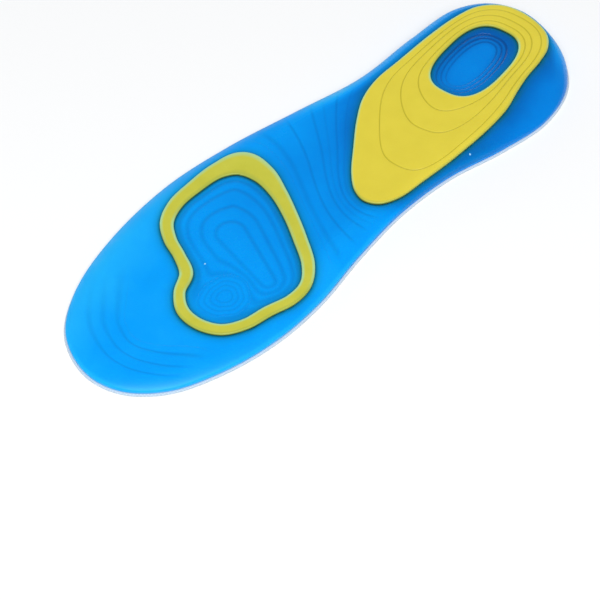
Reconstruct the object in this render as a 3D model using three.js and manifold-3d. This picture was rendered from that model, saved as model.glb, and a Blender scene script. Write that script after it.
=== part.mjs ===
// A gel insole for the left foot, lying sole side up on its foot side.
// Millimetres: X runs from heel to toe, Y to the inner side of the foot, Z up from the floor.
import * as THREE from 'three';
import { mergeVertices } from 'three/addons/utils/BufferGeometryUtils.js';
import Module from 'manifold-3d';

const wasm = await Module();
wasm.setup();

// Driving dimensions
const gap = 0.25; // clearance between neighbouring pieces
const coverThickness = 1.0;
const coverOverhang = 0.4; // fabric that stands out past the gel's edge
const lipHeight = 1.2; // upright edge of the gel, all round
const rimWidth = 2.4; // the flat rim under that edge
const midThickness = 4.3; // gel halfway along
const thicknessTaper = 0.005; // gel lost for each millimetre toward the toe
const liftStart = 10; // the foot side is flat from here to the toe
const liftBlend = 40; // length over which it bends up into the heel cup
const liftSlope = 0.056;
const insideShoulder = 0.85; // width of the cup's inside shoulder against the outside one
const fullness = 3.0; // how square a narrow shoulder of the heel is
const fullnessLoss = 0.09; // and how much flatter it gets for each millimetre of its width
const foreFullness = 1.6; // the forefoot thins out gently to its edge
const foreFrom = -30; // the heel's shoulder changes into the forefoot's from here
const foreTo = 40; // to here
const padDepth = 2.0;
const padProud = 1.0;
const ringDepth = 1.4;
const ringProud = 0.9;
const bevel = 0.5; // broken top edge of the yellow inserts
const cutHeight = 5; // how far the cutting shapes reach above the sole

// The edge, from the heel along the inner side to the toe and back along the outer side.
// The shoulder is the width over which the edge rounds up to the sole.
const outlineRows = [
  { x: -140.5, y: -5, shoulder: 8.5 },
  { x: -135.4, y: 19.3, shoulder: 13 },
  { x: -120.5, y: 35, shoulder: 16 },
  { x: -97, y: 42.2, shoulder: 18 },
  { x: -70, y: 40.4, shoulder: 13 },
  { x: -40, y: 35.1, shoulder: 9 },
  { x: -10, y: 34.8, shoulder: 8 },
  { x: 20, y: 39.2, shoulder: 8 },
  { x: 50, y: 45.5, shoulder: 8 },
  { x: 76, y: 47, shoulder: 8 },
  { x: 101.5, y: 43.4, shoulder: 8 },
  { x: 123.3, y: 35.2, shoulder: 8 },
  { x: 136.3, y: 22.2, shoulder: 8 },
  { x: 140.5, y: 6.1, shoulder: 8 },
  { x: 134.2, y: -13.7, shoulder: 8 },
  { x: 117.3, y: -28.4, shoulder: 8 },
  { x: 90, y: -39.5, shoulder: 8 },
  { x: 52, y: -46.3, shoulder: 8 },
  { x: 16, y: -45.1, shoulder: 8 },
  { x: -20, y: -39.7, shoulder: 9 },
  { x: -55, y: -34.1, shoulder: 9 },
  { x: -90, y: -35.3, shoulder: 9 },
  { x: -118, y: -34.1, shoulder: 9 },
  { x: -134, y: -23.7, shoulder: 9 },
];
const spineHeel = { x: -104, y: 2 };
const spineToe = { x: 104, y: 3 };

// The pad's outer edge, and the oval window that it frames.
const padRows = [
  { x: -134.2, y: -3 },
  { x: -132.6, y: 10 },
  { x: -125.7, y: 17.5 },
  { x: -115.5, y: 21.7 },
  { x: -105, y: 23.6 },
  { x: -95.2, y: 26.2 },
  { x: -83.2, y: 30 },
  { x: -68, y: 32 },
  { x: -48, y: 32.3 },
  { x: -28, y: 31.6 },
  { x: -12, y: 30.7 },
  { x: -3.9, y: 27.4 },
  { x: -0.5, y: 21.4 },
  { x: -1.8, y: 14.7 },
  { x: -7.6, y: 7 },
  { x: -19.7, y: -3.6 },
  { x: -32.5, y: -14 },
  { x: -43.6, y: -21 },
  { x: -56, y: -24.7 },
  { x: -72, y: -25.6 },
  { x: -95, y: -26.6 },
  { x: -112, y: -25.8 },
  { x: -123.7, y: -22.8 },
  { x: -131.8, y: -14.2 },
];
const windowOval = { x: -95.7, y: -0.3, halfLength: 23.9, halfWidth: 14.9, power: 2.7, tilt: 0.13 };

// The basin in the window goes down in oval steps.
const basinSteps = [
  { inset: 4.8, depth: 0.5 },
  { inset: 6.6, depth: 0.9 },
  { inset: 8.8, depth: 1.3 },
];

// The middle of the ring's band, and the band's width.
const ringRows = [
  { x: 21.8, y: -8.2, band: 7.8 },
  { x: 27.3, y: 5.1, band: 6.4 },
  { x: 33.9, y: 17.8, band: 6.1 },
  { x: 41.5, y: 30.2, band: 5.6 },
  { x: 49.7, y: 36.9, band: 5 },
  { x: 59, y: 38.4, band: 5.1 },
  { x: 70.2, y: 36.2, band: 5.4 },
  { x: 81.2, y: 34.5, band: 5.3 },
  { x: 89.8, y: 29.8, band: 5.4 },
  { x: 94.3, y: 21.2, band: 5.4 },
  { x: 94.2, y: 11.9, band: 5.3 },
  { x: 88.9, y: 3.9, band: 4.9 },
  { x: 80.2, y: -1.7, band: 5.8 },
  { x: 75.8, y: -10.8, band: 5.2 },
  { x: 72.6, y: -20.1, band: 5.6 },
  { x: 67, y: -28.5, band: 6 },
  { x: 57.5, y: -33.6, band: 6.6 },
  { x: 45.9, y: -35.3, band: 7.2 },
  { x: 31.2, y: -35.4, band: 9.2 },
  { x: 21, y: -30.8, band: 13.8 },
  { x: 19, y: -20.6, band: 11 },
];

// Facets
const edgeColumns = 84;
const padColumns = 84;
const ringColumns = 76;
const ovalColumns = 48;
const edgeSteps = 360; // straight steps used to measure the distance to the edge
const tiny = 0.001;

const gelSeat = coverThickness + gap;
const lipTop = gelSeat + lipHeight;

// A smooth closed curve through the rows, whose third coordinate carries their other column.
function closedCurve(rows, column) {
  const points = rows.map((row) => new THREE.Vector3(row.x, row.y, column ? row[column] : 0));
  return new THREE.CatmullRomCurve3(points, true, 'centripetal');
}

const outline = closedCurve(outlineRows, 'shoulder');
const padOutline = closedCurve(padRows);
const ringMiddle = closedCurve(ringRows, 'band');
const edgePoints = outline.getSpacedPoints(edgeSteps);

// A point of a curve moved sideways; outward is to the left, as the rows run.
function beside(curve, share, distance) {
  const point = curve.getPointAt(share);
  const tangent = curve.getTangentAt(share);
  const length = Math.hypot(tangent.x, tangent.y);
  const x = point.x - (distance * tangent.y) / length;
  const y = point.y + (distance * tangent.x) / length;
  return { x, y, carried: point.z };
}

// Distance from a plan point to the edge, with the shoulder there.
function nearestEdge(x, y) {
  const nearest = { distance: Infinity, shoulder: 1 };
  for (let step = 0; step < edgeSteps; step += 1) {
    const from = edgePoints[step];
    const to = edgePoints[step + 1];
    const run = { x: to.x - from.x, y: to.y - from.y };
    const reach = ((x - from.x) * run.x + (y - from.y) * run.y) / (run.x ** 2 + run.y ** 2);
    const along = THREE.MathUtils.clamp(reach, 0, 1);
    const distance = Math.hypot(x - from.x - along * run.x, y - from.y - along * run.y);
    if (distance < nearest.distance) {
      nearest.distance = distance;
      nearest.shoulder = THREE.MathUtils.lerp(from.z, to.z, along);
    }
  }
  return nearest;
}

// How square the shoulder is.
function squareness(x, shoulder) {
  const heel = fullness - fullnessLoss * shoulder;
  return THREE.MathUtils.lerp(heel, foreFullness, THREE.MathUtils.smoothstep(x, foreFrom, foreTo));
}

// A quarter superellipse: upright at 0, level from 1 on.
function rounded(share, power) {
  const left = 1 - THREE.MathUtils.clamp(share, 0, 1);
  return (1 - left ** power) ** (1 / power);
}

// Height of the foot side's middle over the rim: none in the forefoot, then an even slope to the heel.
function lift(x) {
  const run = Math.max(liftStart - x, 0);
  const bent = run < liftBlend ? run ** 2 / (2 * liftBlend) : run - liftBlend / 2;
  return liftSlope * bent;
}

function soleHeight(x, y) {
  const middle = gelSeat + lift(x) + midThickness - thicknessTaper * x;
  const { distance, shoulder } = nearestEdge(x, y);
  return lipTop + (middle - lipTop) * rounded(distance / shoulder, squareness(x, shoulder));
}

// Height of the gel's foot side, or of a surface that lies the given clearance below it.
function footHeight(x, y, clearance) {
  const { distance, shoulder } = nearestEdge(x, y);
  const share = (distance - rimWidth - clearance) / (insideShoulder * shoulder);
  return gelSeat - clearance + lift(x) * rounded(share, squareness(x, shoulder));
}

// A closed surface on a grid of columns round the piece and rows across it.
function skin(columns, rows, rowsWrap, place) {
  const points = [];
  for (const row of rows) {
    for (let column = 0; column < columns; column += 1) {
      points.push(...place(column / columns, row));
    }
  }
  const index = [];
  const strips = rowsWrap ? rows.length : rows.length - 1;
  for (let strip = 0; strip < strips; strip += 1) {
    const here = strip * columns;
    const there = ((strip + 1) % rows.length) * columns;
    for (let column = 0; column < columns; column += 1) {
      const next = (column + 1) % columns;
      index.push(here + column, here + next, there + column);
      index.push(here + next, there + next, there + column);
    }
  }
  const geometry = new THREE.BufferGeometry();
  geometry.setAttribute('position', new THREE.Float32BufferAttribute(points, 3));
  geometry.setIndex(index);
  return withoutSlivers(mergeVertices(geometry, tiny));
}

// Drops the triangles that lost an edge where points were merged.
function withoutSlivers(geometry) {
  const old = geometry.getIndex().array;
  const index = [];
  for (let corner = 0; corner < old.length; corner += 3) {
    const [a, b, c] = old.slice(corner, corner + 3);
    if (a !== b && b !== c && c !== a) {
      index.push(a, b, c);
    }
  }
  geometry.setIndex(index);
  return geometry;
}

function solidOf(geometry) {
  const vertProperties = new Float32Array(geometry.getAttribute('position').array);
  const triVerts = new Uint32Array(geometry.getIndex().array);
  return new wasm.Manifold(new wasm.Mesh({ numProp: 3, vertProperties, triVerts }));
}

function geometryOf(solid) {
  const mesh = solid.getMesh();
  const geometry = new THREE.BufferGeometry();
  geometry.setAttribute('position', new THREE.BufferAttribute(mesh.vertProperties, 3));
  geometry.setIndex(new THREE.BufferAttribute(mesh.triVerts, 1));
  return geometry;
}

// A plan point in from the edge toward the spine: reach 0 to 1 crosses the shoulder, 1 to 2 the rest.
function inward(share, reach, start, shoulderShare) {
  const edge = beside(outline, share, -start);
  const along = 1 - Math.abs(1 - 2 * share);
  const spineX = THREE.MathUtils.lerp(spineHeel.x, spineToe.x, along);
  const spineY = THREE.MathUtils.lerp(spineHeel.y, spineToe.y, along);
  const whole = Math.hypot(spineX - edge.x, spineY - edge.y);
  const shoulder = (edge.carried * shoulderShare) / whole;
  const part = reach <= 1 ? reach * shoulder : shoulder + (reach - 1) * (1 - shoulder);
  return {
    x: THREE.MathUtils.lerp(edge.x, spineX, part),
    y: THREE.MathUtils.lerp(edge.y, spineY, part),
  };
}

function soleAt(share, reach) {
  const { x, y } = inward(share, reach, 0, 1);
  return [x, y, soleHeight(x, y)];
}

function footAt(share, reach, clearance) {
  const { x, y } = inward(share, reach, rimWidth + clearance, insideShoulder);
  return [x, y, footHeight(x, y, clearance)];
}

const soleReaches = [2, 1.66, 1.33, 1, 0.7, 0.45, 0.25, 0.1, 0.02, 0];
const footReaches = [0, 0.04, 0.15, 0.35, 0.65, 1, 1.4, 2];

// The whole gel, with the hollow of the heel cup under it.
function gelBody() {
  const sole = soleReaches.map((reach) => (share) => soleAt(share, reach));
  const edge = (share) => {
    const { x, y } = beside(outline, share, 0);
    return [x, y, gelSeat];
  };
  const foot = footReaches.map((reach) => (share) => footAt(share, reach, 0));
  return skin(edgeColumns, [...sole, edge, ...foot], false, (share, row) => row(share));
}

// The fabric on the foot side: it lines the cup and turns out under the rim.
function coverBody() {
  const sheet = (clearance) => footReaches.map((reach) => (share) => footAt(share, reach, clearance));
  const edge = (height) => (share) => {
    const { x, y } = beside(outline, share, coverOverhang);
    return [x, y, height];
  };
  const top = sheet(gap).reverse();
  const bottom = sheet(gap + coverThickness);
  const rows = [...top, edge(coverThickness), edge(0), ...bottom];
  return skin(edgeColumns, rows, false, (share, row) => row(share));
}

// A flat-walled loop that follows the sole, between an inner and an outer plan point for each column.
function loop(columns, between, low, high, broken) {
  const rows = [
    { across: 0, inset: 0, height: low },
    { across: 0, inset: 0, height: high - broken },
    { across: 0, inset: broken, height: high },
    { across: 0.33, inset: 0, height: high },
    { across: 0.67, inset: 0, height: high },
    { across: 1, inset: -broken, height: high },
    { across: 1, inset: 0, height: high - broken },
    { across: 1, inset: 0, height: low },
    { across: 0.67, inset: 0, height: low },
    { across: 0.33, inset: 0, height: low },
  ];
  return skin(columns, rows, true, (share, row) => {
    const { inner, outer } = between(share);
    const width = Math.hypot(outer.x - inner.x, outer.y - inner.y);
    const part = row.across + row.inset / width;
    const x = THREE.MathUtils.lerp(inner.x, outer.x, part);
    const y = THREE.MathUtils.lerp(inner.y, outer.y, part);
    return [x, y, soleHeight(x, y) + row.height];
  });
}

// A point of the window's edge in the given direction, moved inward by the inset.
function windowPoint(direction, inset) {
  const turned = direction - windowOval.tilt;
  const along = Math.abs(Math.cos(turned) / (windowOval.halfLength - inset)) ** windowOval.power;
  const across = Math.abs(Math.sin(turned) / (windowOval.halfWidth - inset)) ** windowOval.power;
  const radius = (along + across) ** (-1 / windowOval.power);
  return {
    x: windowOval.x + radius * Math.cos(direction),
    y: windowOval.y + radius * Math.sin(direction),
  };
}

function padBetween(spread) {
  return (share) => {
    const outer = beside(padOutline, share, spread);
    const direction = Math.atan2(outer.y - windowOval.y, outer.x - windowOval.x);
    return { inner: windowPoint(direction, spread), outer };
  };
}

function ringBetween(spread) {
  return (share) => {
    const half = ringMiddle.getPointAt(share).z / 2 + spread;
    return { inner: beside(ringMiddle, share, -half), outer: beside(ringMiddle, share, half) };
  };
}

// The cutting shape of one basin step: an oval column standing on the step's floor.
function basinCut(step) {
  const rows = [
    { onEdge: false, height: cutHeight },
    { onEdge: true, height: cutHeight },
    { onEdge: true, height: -step.depth },
    { onEdge: false, height: -step.depth },
  ];
  return skin(ovalColumns, rows, false, (share, row) => {
    const edge = windowPoint(-2 * Math.PI * share, step.inset);
    const { x, y } = row.onEdge ? edge : windowOval;
    return [x, y, soleHeight(x, y) + row.height];
  });
}

function gelBase() {
  const pockets = [
    loop(padColumns, padBetween(gap), -padDepth, cutHeight, gap),
    loop(ringColumns, ringBetween(gap), -ringDepth, cutHeight, gap),
    ...basinSteps.map(basinCut),
  ];
  const carved = pockets.reduce((gel, pocket) => gel.subtract(solidOf(pocket)), solidOf(gelBody()));
  return geometryOf(carved);
}

function piece(name, geometry, color, roughness) {
  geometry.computeVertexNormals();
  const material = new THREE.MeshStandardMaterial({ color, roughness, metalness: 0 });
  const mesh = new THREE.Mesh(geometry, material);
  mesh.name = name;
  return mesh;
}

const pad = loop(padColumns, padBetween(0), gap - padDepth, padProud, bevel);
const ring = loop(ringColumns, ringBetween(0), gap - ringDepth, ringProud, bevel);

const insole = new THREE.Group();
insole.add(piece('gel_base', gelBase(), 0x148be8, 0.25));
insole.add(piece('heel_arch_pad', pad, 0xe0d448, 0.4));
insole.add(piece('forefoot_ring', ring, 0xccc94e, 0.4));
insole.add(piece('top_cover', coverBody(), 0xe4eef6, 0.9));

// The origin is on the floor, under the middle of the insole.
const middle = new THREE.Box3().setFromObject(insole).getCenter(new THREE.Vector3());
insole.position.set(-middle.x, -middle.y, 0);

export default insole;
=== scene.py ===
import math
from types import SimpleNamespace

import bpy
import numpy as np
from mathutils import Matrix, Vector


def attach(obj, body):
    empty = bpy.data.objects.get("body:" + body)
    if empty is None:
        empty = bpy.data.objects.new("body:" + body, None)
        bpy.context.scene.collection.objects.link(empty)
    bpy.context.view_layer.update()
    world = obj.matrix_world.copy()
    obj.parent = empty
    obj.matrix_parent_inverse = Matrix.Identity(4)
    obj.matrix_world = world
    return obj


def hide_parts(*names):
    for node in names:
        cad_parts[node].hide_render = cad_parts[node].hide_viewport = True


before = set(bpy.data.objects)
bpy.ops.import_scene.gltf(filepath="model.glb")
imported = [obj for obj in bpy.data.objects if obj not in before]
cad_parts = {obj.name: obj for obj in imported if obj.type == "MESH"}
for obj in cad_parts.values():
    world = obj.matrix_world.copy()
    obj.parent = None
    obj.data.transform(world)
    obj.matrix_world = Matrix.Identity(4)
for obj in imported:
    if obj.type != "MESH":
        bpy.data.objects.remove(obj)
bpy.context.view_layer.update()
mm = 0.001
tiny = 1e-6  # keeps a share from dividing by nothing

photoCamera = {
    "azimuth": 135.41,  # degrees round the insole, 0 from the outer side
    "elevation": 50.666,
    "distance": 0.6264,
    "target": (0.05811, 0.04195, 0.00763),
    "lens": 93.56,
    "sensor": 36.0,
    "clip": (0.01, 20.0),
}


# a camera on a sphere about the target, turned to look at it
def placeCamera(settings):
    turn, rise = math.radians(settings["azimuth"]), math.radians(settings["elevation"])
    level = math.cos(rise)
    away = Vector((math.sin(turn) * level, -math.cos(turn) * level, math.sin(rise)))
    data = bpy.data.cameras.new("photoCamera")
    data.lens = settings["lens"]
    data.sensor_width = settings["sensor"]
    data.clip_start, data.clip_end = settings["clip"]
    camera = bpy.data.objects.new("photoCamera", data)
    camera.location = Vector(settings["target"]) + settings["distance"] * away
    camera.rotation_euler = (math.pi / 2 - rise, 0.0, turn)
    bpy.context.collection.objects.link(camera)
    bpy.context.scene.camera = camera


placeCamera(photoCamera)
bpy.context.scene.view_settings.view_transform = "Standard"
print("camera placed")

# the insole's shared shape, in mm, sole side up: x to the toe, y to the inner side of the foot
insole = {
    "seat": 1.03,  # underside of the gel, just above the cover
    "gelSeat": 1.25,  # level that the gel's thickness is counted from
    "lipTop": 2.45,  # top of the upright edge
    "rimWidth": 2.4,  # flat rim under the gel's edge
    "midThickness": 4.3,
    "taper": 0.005,  # thickness lost for each mm toward the toe
    "liftStart": 10.0,  # x behind which the heel rises
    "liftBlend": 40.0,  # mm over which the rise turns into a straight slope
    "liftSlope": 0.056,
    "insideShoulder": 0.85,  # width of the hollow's shoulder against the outer one
    "fullness": 3.0,  # squareness of a narrow shoulder at the heel, and its loss for each mm of width
    "fullnessLoss": 0.09,
    "foreFullness": 1.6,  # the forefoot thins out gently to its edge
    "foreRun": (-30.0, 40.0),  # x over which the heel's shoulder turns into the forefoot's
    "spineHeel": (-104.0, 2.0),
    "spineToe": (104.0, 3.0),
    "spineAlong": 0.88,  # how far the spine's points follow the outline's x; the rest is even spacing
    "outlinePoints": 720,
    "finePoints": 2880,  # for the steep rows beside the edge
    # x, y, width of the rounded shoulder
    "outlineRows": [
        (-140.5, -5, 8.5), (-135.4, 19.3, 13), (-120.5, 35, 16), (-97, 42.2, 18), (-70, 40.4, 13),
        (-40, 35.1, 9), (-10, 34.8, 8), (20, 39.2, 8), (50, 45.5, 8), (76, 47, 8), (101.5, 43.4, 8),
        (123.3, 35.2, 8), (136.3, 22.2, 8), (140.5, 6.1, 8), (134.2, -13.7, 8), (117.3, -28.4, 8),
        (90, -39.5, 8), (52, -46.3, 8), (16, -45.1, 8), (-20, -39.7, 9), (-55, -34.1, 9), (-90, -35.3, 9),
        (-118, -34.1, 9), (-134, -23.7, 9),
    ],
    "toeRow": 13,  # the outline row at the end of the toe
}


# closed centripetal Catmull-Rom curve: cubic Hermite pieces between rows, with tangents from the square roots
# of the rows' spacing, then points at shares of its length, given or worked out from the rows' own shares
def loopThrough(rows, shares, samples=60):
    here = np.array([tuple(row) + (0.0,) * (3 - len(row)) for row in rows])
    before, after, beyond = np.roll(here, 1, 0), np.roll(here, -1, 0), np.roll(here, -2, 0)
    spans = (before, here), (here, after), (after, beyond)
    last, span, coming = [np.sqrt(np.linalg.norm(end - start, axis=1))[:, None] for start, end in spans]
    leave = (here - before) / last - (after - before) / (last + span) + (after - here) / span
    arrive = (after - here) / span - (beyond - here) / (span + coming) + (beyond - after) / coming
    t = np.linspace(0, 1, samples, endpoint=False)[None, :, None]
    fine = ((2 * t**3 - 3 * t**2 + 1) * here[:, None] + (t**3 - 2 * t**2 + t) * (leave * span)[:, None]
            + (3 * t**2 - 2 * t**3) * after[:, None] + (t**3 - t**2) * (arrive * span)[:, None])
    fine = np.vstack([fine.reshape(-1, 3), here[:1]])
    lengths = np.linalg.norm(np.diff(fine[:, :2], axis=0), axis=1)
    along = np.concatenate([[0], np.cumsum(lengths)])
    if callable(shares):
        shares = shares(along[::samples] / along[-1])
    return np.stack([np.interp(shares * along[-1], along, column) for column in fine.T], -1)


def evenShares(count):
    return np.arange(count) / count


# distance from points to a closed line, the third value that the line carries there, and whether they are
# inside, by the parity of crossings; a block of points at a time to spare memory
def nearestEdge(points, loop, block=3000, flattest=1e-7):
    start = loop.astype(np.float32)
    end = np.roll(start, -1, 0)
    run = end[:, :2] - start[:, :2]
    rise = np.where(np.abs(run[:, 1]) < flattest, flattest, run[:, 1])
    found = np.empty((len(points), 3))
    for first in range(0, len(points), block):
        spot = points[first:first + block, :2].astype(np.float32)
        dx, dy = spot[:, :1] - start[:, 0], spot[:, 1:] - start[:, 1]
        crossed = ((dy < 0) != (spot[:, 1:] < end[:, 1])) & (dx < dy * run[:, 0] / rise)
        share = np.clip((dx * run[:, 0] + dy * run[:, 1]) / (run**2).sum(1), 0, 1)
        square = (dx - share * run[:, 0])**2 + (dy - share * run[:, 1])**2
        near = square.argmin(1)
        pick = np.arange(len(spot))
        carried = start[near, 2] + share[pick, near] * (end[near, 2] - start[near, 2])
        found[first:first + block] = np.stack([np.sqrt(square[pick, near]), carried, crossed.sum(1) % 2], -1)
    return found[:, 0], found[:, 1], found[:, 2] > 0.5


# 0 at the first value and 1 at the second, smooth between them; the second may be the lower one
def smoothRamp(value, nothing, full):
    share = np.clip((value - nothing) / (full - nothing), 0, 1)
    return share * share * (3 - 2 * share)


# product of several such ramps
def inRamps(value, *ramps):
    return math.prod(smoothRamp(value, *ramp) for ramp in ramps)


# how square the shoulder is: less where it is wide, and least in the forefoot
def squareness(x, shoulder):
    heel = insole["fullness"] - insole["fullnessLoss"] * shoulder
    return heel + (insole["foreFullness"] - heel) * smoothRamp(x, *insole["foreRun"])


# quarter of a superellipse: rises from 0 at the edge to 1 at the end of the shoulder
def rounded(share, power):
    return (1 - (1 - np.clip(share, 0, 1))**power)**(1 / power)


# the heel's rise: nothing ahead of liftStart, then a parabola that runs into a straight slope
def lift(x):
    run = np.maximum(insole["liftStart"] - x, 0)
    blend = insole["liftBlend"]
    return insole["liftSlope"] * np.where(run < blend, run**2 / (2 * blend), run - blend / 2)


# sole side: the full height inside, rolled down over the shoulder to the top of the upright edge
def soleHeight(points, edge, shoulder):
    x = points[:, 0]
    full = insole["gelSeat"] + lift(x) + insole["midThickness"] - insole["taper"] * x - insole["lipTop"]
    return insole["lipTop"] + full * rounded(edge / shoulder, squareness(x, shoulder))


# foot side: flat rim, then the heel's rise rolled up from the rim
def footHeight(points, edge, shoulder, floor, rim):
    x = points[:, 0]
    share = (edge - rim) / (insole["insideShoulder"] * shoulder)
    return floor + lift(x) * rounded(share, squareness(x, shoulder))


outline = loopThrough(insole["outlineRows"], evenShares(insole["outlinePoints"]))
fineOutline = loopThrough(insole["outlineRows"], evenShares(insole["finePoints"]))
# the middle of the outline's box, which every mesh takes as its origin
middle = np.array([(outline[:, axis].max() + outline[:, axis].min()) / 2 for axis in (0, 1)] + [0.0])


# unit vectors to the left of a closed line's run, which is outward
def sideways(loop):
    run = np.roll(loop[:, :2], -1, 0) - np.roll(loop[:, :2], 1, 0)
    run /= np.linalg.norm(run, axis=1)[:, None]
    return np.stack([-run[:, 1], run[:, 0]], -1)


# columns of a grid: outline points, as many on each side between heel and toe, and the point of the spine
# that each one runs to; the two sides share the spine's points
def soleColumns(half):
    step = np.arange(half) / half

    def bothSides(marks):
        toeMark = marks[insole["toeRow"]]
        return np.concatenate([toeMark * step, toeMark + (1 - toeMark) * step])

    edge = loopThrough(insole["outlineRows"], bothSides)
    column = np.arange(2 * half)
    mirror = np.minimum(column, 2 * half - column)
    other = edge[(2 * half - column) % (2 * half)]
    heel, toe = np.array(insole["spineHeel"]), np.array(insole["spineToe"])
    along = np.clip(((edge[:, 0] + other[:, 0]) / 2 - heel[0]) / (toe[0] - heel[0]), 0, 1)
    share = insole["spineAlong"] * along + (1 - insole["spineAlong"]) * mirror / half
    return edge, heel + (toe - heel) * share[:, None], mirror


# a closed grid, rows by columns of points, joined round the columns; pinched end rows share the points of
# their mirrored columns, and faces that enclose less than nothing are turned over
def gridMesh(name, grid, mirror=None, closeRows=False):
    rows, columns = grid.shape[:2]
    index = np.arange(rows * columns).reshape(rows, columns)
    if mirror is not None:
        index[0], index[-1] = index[0][mirror], index[-1][mirror]
    if closeRows:
        index = np.vstack([index, index[:1]])
    here, there = index[:-1], index[1:]
    quads = np.stack([here, np.roll(here, -1, 1), np.roll(there, -1, 1), there], -1).reshape(-1, 4)
    used = np.unique(quads)
    quads = np.searchsorted(used, quads)
    points = (grid.reshape(-1, 3)[used] - middle) * mm
    first, second, third, fourth = points[quads].transpose(1, 0, 2)
    sixVolumes = (first * (np.cross(second, third) + np.cross(third, fourth))).sum()
    if sixVolumes < 0:
        quads = quads[:, ::-1]
    mesh = bpy.data.meshes.new(name)
    mesh.from_pydata(points.tolist(), [], quads.tolist())
    mesh.polygons.foreach_set("use_smooth", np.ones(len(quads), dtype=bool))
    mesh.update()
    piece = bpy.data.objects.new(name, mesh)
    bpy.context.collection.objects.link(piece)
    print(name + ":", len(quads), "faces")
    return piece, used


# puts a value for each point on the mesh, for the material to read
def paint(piece, name, values):
    layer = piece.data.attributes.new(name, "FLOAT", "POINT")
    layer.data.foreach_set("value", np.ascontiguousarray(values, dtype=np.float32))


lightWay = np.array([0.70, 0.71])  # plan direction that the main light comes from

# how the gel takes an insert
pocket = {
    "ramp": 1.4,  # mm over which the gel steps down under it
    "clear": 0.35,  # mm from its underside to the pocket's floor
    "lip": 0.12,  # mm that its underside starts below the sole
    "underRun": (0.1, 1.65),  # mm from its edge over which the underside goes to its full depth
}

# the inserts' rows, and the painted glow and painted shade along their edges
insertEdge = {
    "cornerRows": 6,
    "evenRows": (0.2, 0.4, 0.6, 0.8),  # rows between two lines, as shares of the way
    "band": (1.45, 0.3),  # mm from an edge over which its painted glow or its painted shade comes in
    "glow": (-0.6, 0.1),  # turn away from the light, as a cosine, over which an edge starts to take its painted glow
    # painted shade in the band along the edges that look to the light
    "shade": 0.45,
    "wallFrom": 0.05,  # share of the corner's radius at which the wall's painted shade starts
    "wallLower": 0.6,  # how much lower it starts on a glowing edge
}
evenRows = np.array(insertEdge["evenRows"])[:, None]


# a quarter circle: mm in from the side, and mm down from the top
def roundCorner(radius):
    angles = np.linspace(0, math.pi / 2, insertEdge["cornerRows"])[:, None]
    return radius * (1 - np.cos(angles)), radius * (1 - np.sin(angles))


# painted light on an insert: rim, a painted pale glow along the edges that look away from the light, where it
# leaves the gel; wall, painted shade on the upright sides and below, and in a softer band along the edges
# that look to the light
def markInsert(piece, across, width, edgeWays, cornerDrop, radius):
    glowOuter, glowInner = [smoothRamp(-way @ lightWay, *insertEdge["glow"]) for way in edgeWays]
    glow = np.where(across > width / 2, glowOuter, glowInner)
    band = smoothRamp(np.minimum(across, width - across), *insertEdge["band"])
    paint(piece, "rim", (glow * band).ravel())
    wall = np.ones(across.shape)
    top = len(cornerDrop)
    wallFrom = insertEdge["wallFrom"] + insertEdge["wallLower"] * glow[:top]
    shade = insertEdge["shade"] * (1 - glow[:top]) * band[:top]
    wall[:top] = np.maximum(smoothRamp(cornerDrop, wallFrom * radius, radius), shade)
    paint(piece, "wall", wall.ravel())


# an insert from its rows, each mm from its inner side: those over the top stand proud of the sole, less their
# drop, and the underside goes down from just below the sole to the insert's depth
def makeInsert(name, settings, plan, across, width, drop, groove, edgeWays):
    flat = plan.reshape(-1, 2)
    away, shoulder, _ = nearestEdge(flat, outline)
    height = soleHeight(flat, away, shoulder).reshape(across.shape)
    top = len(drop)
    inside = np.minimum(across, width - across)
    deep = (settings["depth"] - pocket["lip"]) * smoothRamp(inside[top:], *pocket["underRun"])
    height[:top] += settings["proud"] - drop
    height[top:] -= pocket["lip"] + deep
    piece, _ = gridMesh(name, np.concatenate([plan, height[..., None]], -1), closeRows=True)
    # groove: painted shade that darkens the engraved lines, following the grooves' dip
    paint(piece, "groove", np.vstack([groove, 0 * inside[top:]]).ravel())
    cornerDrop = np.where(inside[:top] < settings["edgeRadius"], drop, 0)
    markInsert(piece, across, width, edgeWays, cornerDrop, settings["edgeRadius"])
    return piece


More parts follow.
